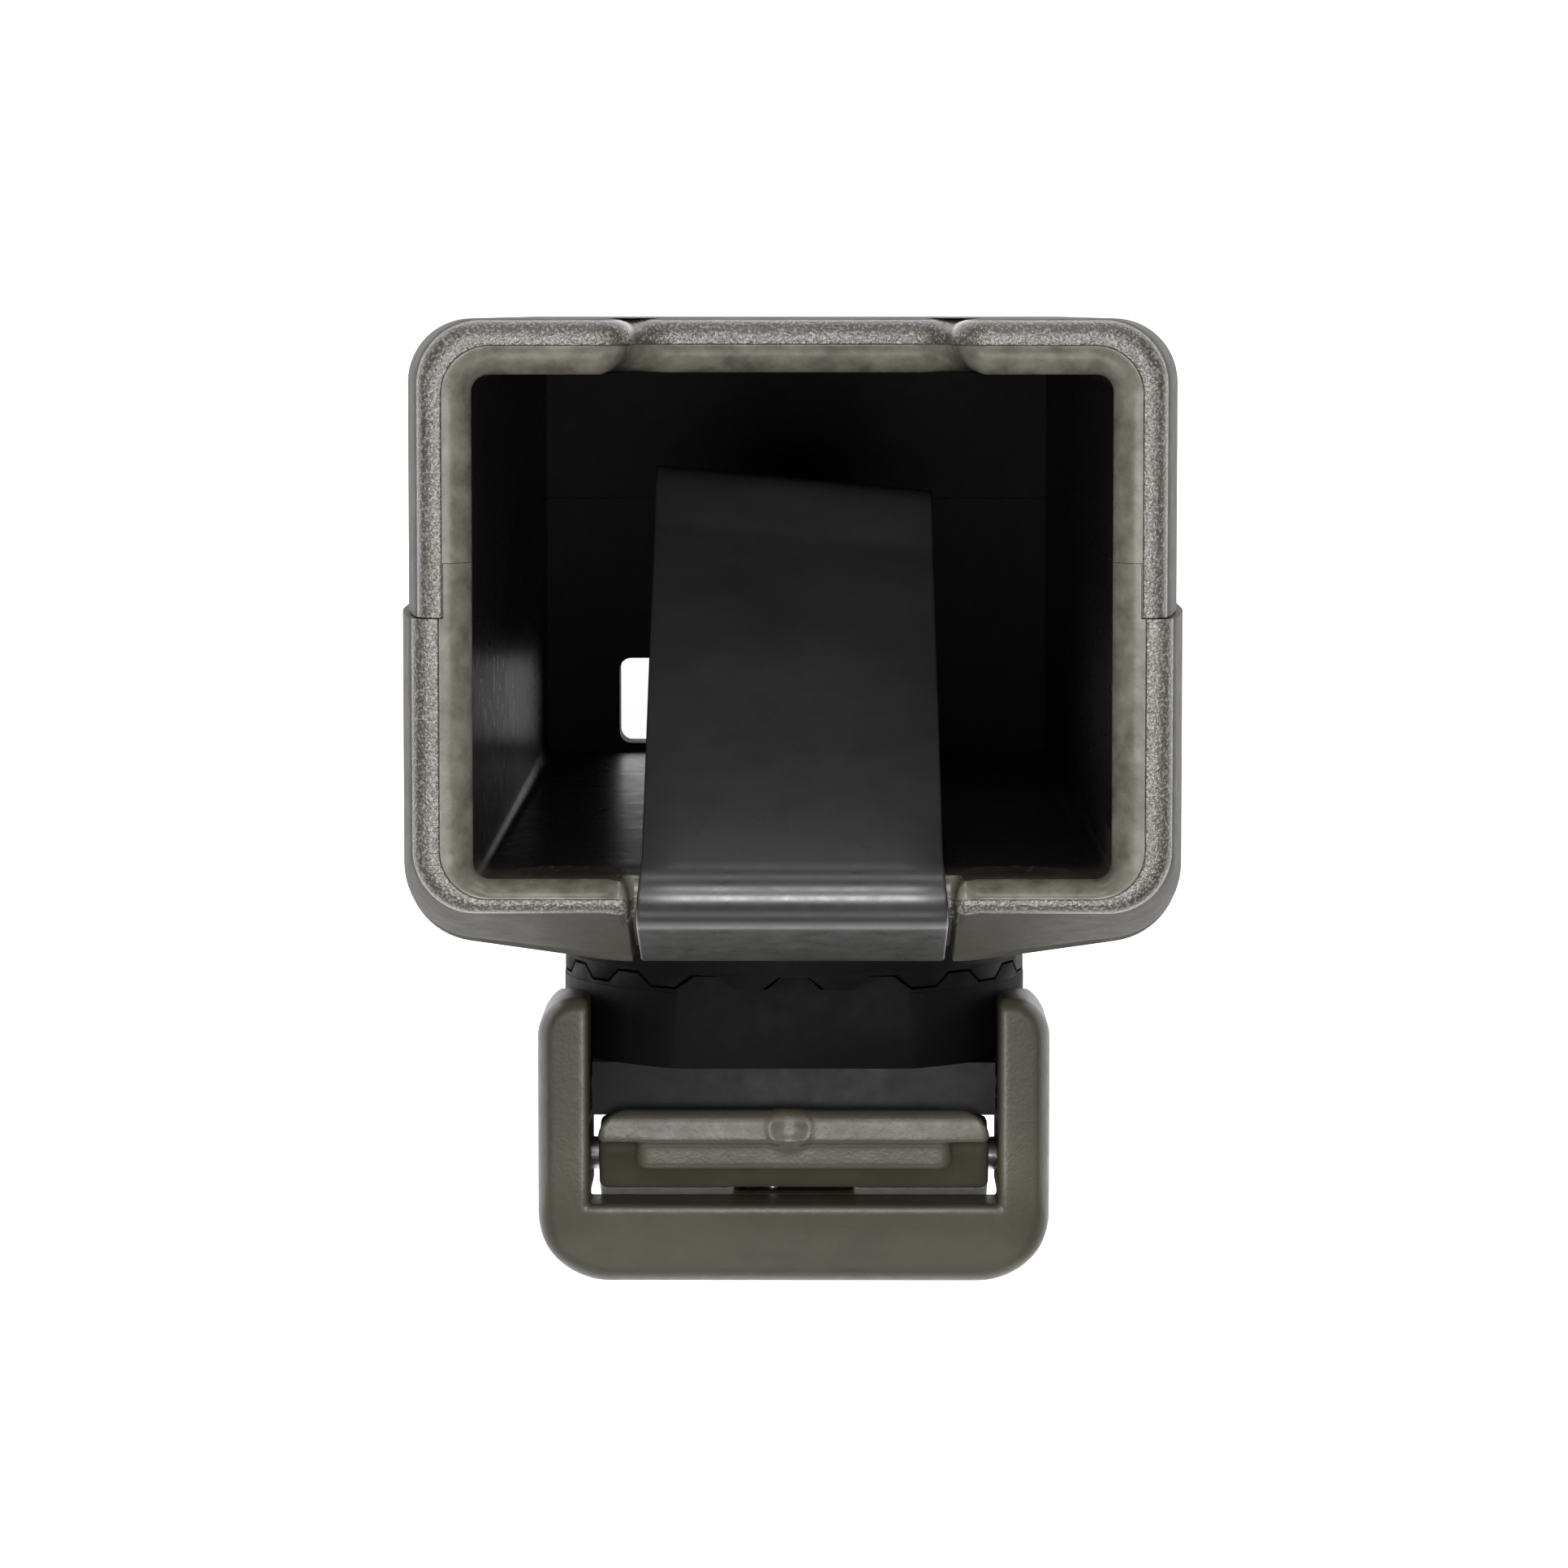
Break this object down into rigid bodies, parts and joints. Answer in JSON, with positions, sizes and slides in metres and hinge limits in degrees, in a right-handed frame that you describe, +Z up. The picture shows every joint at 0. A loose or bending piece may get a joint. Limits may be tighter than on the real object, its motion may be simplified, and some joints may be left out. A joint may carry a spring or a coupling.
{
  "type": "swivelling belt pouch",
  "caption": "Open rectangular belt pouch in two shells with a retaining leaf spring, a toothed indexing swivel and a belt clip with a sprung lock lever.",
  "frame": {"origin": "centre of the pouch's flat bottom face, on the seam between its two shells", "axes": "+Z up to the mouth, +Y towards the belt clip, -Y the front with the thumb dip, X across"},
  "size_m": [0.0442, 0.0586, 0.092],
  "materials": {
    "olive_polymer": "fine spark-eroded grain, olive drab",
    "black_polymer": "satin black glass-filled polymer",
    "black_spring_steel": "satin black phosphate",
    "zinc_steel": "zinc plated",
    "spring_wire": "bright spring wire",
    "brass": "turned brass"
  },
  "bodies": {
    "pouch": {"front_shell": "olive_polymer", "rear_shell": "olive_polymer", "leaf_leg": "black_spring_steel", "pouch_ring": "black_polymer", "ring_screws": "zinc_steel", "threaded_insert": "brass", "swivel_bolt": "zinc_steel"},
    "leaf": {"leaf_bow": "black_spring_steel"},
    "swivel_carriage": {"keyed_washer": "zinc_steel"},
    "belt_clip": {"clip_ring": "black_polymer", "bearing_sleeve": "brass", "swivel_spring": "spring_wire", "base_plate": "black_polymer", "plate_screws": "zinc_steel", "clip_frame": "olive_polymer", "frame_screws": "zinc_steel", "lever_pin": "zinc_steel", "lever_spring": "spring_wire"},
    "lock_lever": {"lock_lever": "olive_polymer"}
  },
  "joints": [
    {"name": "leaf_flex", "type": "hinge", "parent": "pouch", "child": "leaf", "pos_m": [0, 0.0156, 0.0897], "axis": [1, 0, 0], "range_deg": [0, 25], "stiffness_Nm_per_rad": 0.8},
    {"name": "swivel", "type": "hinge", "parent": "pouch", "child": "swivel_carriage", "pos_m": [0, 0.0295, 0.052], "axis": [0, 1, 0], "range_deg": [-270, 270]},
    {"name": "swivel_pull", "type": "slide", "parent": "swivel_carriage", "child": "belt_clip", "axis": [0, 1, 0], "range_m": [0, 0.0012], "stiffness_N_per_m": 4000, "deforming": ["swivel_spring"]},
    {"name": "lever_swing", "type": "hinge", "parent": "belt_clip", "child": "lock_lever", "pos_m": [0, 0.0348, 0.0573], "axis": [1, 0, 0], "range_deg": [0, 15], "stiffness_Nm_per_rad": 0.15, "deforming": ["lever_spring"]}
  ]
}
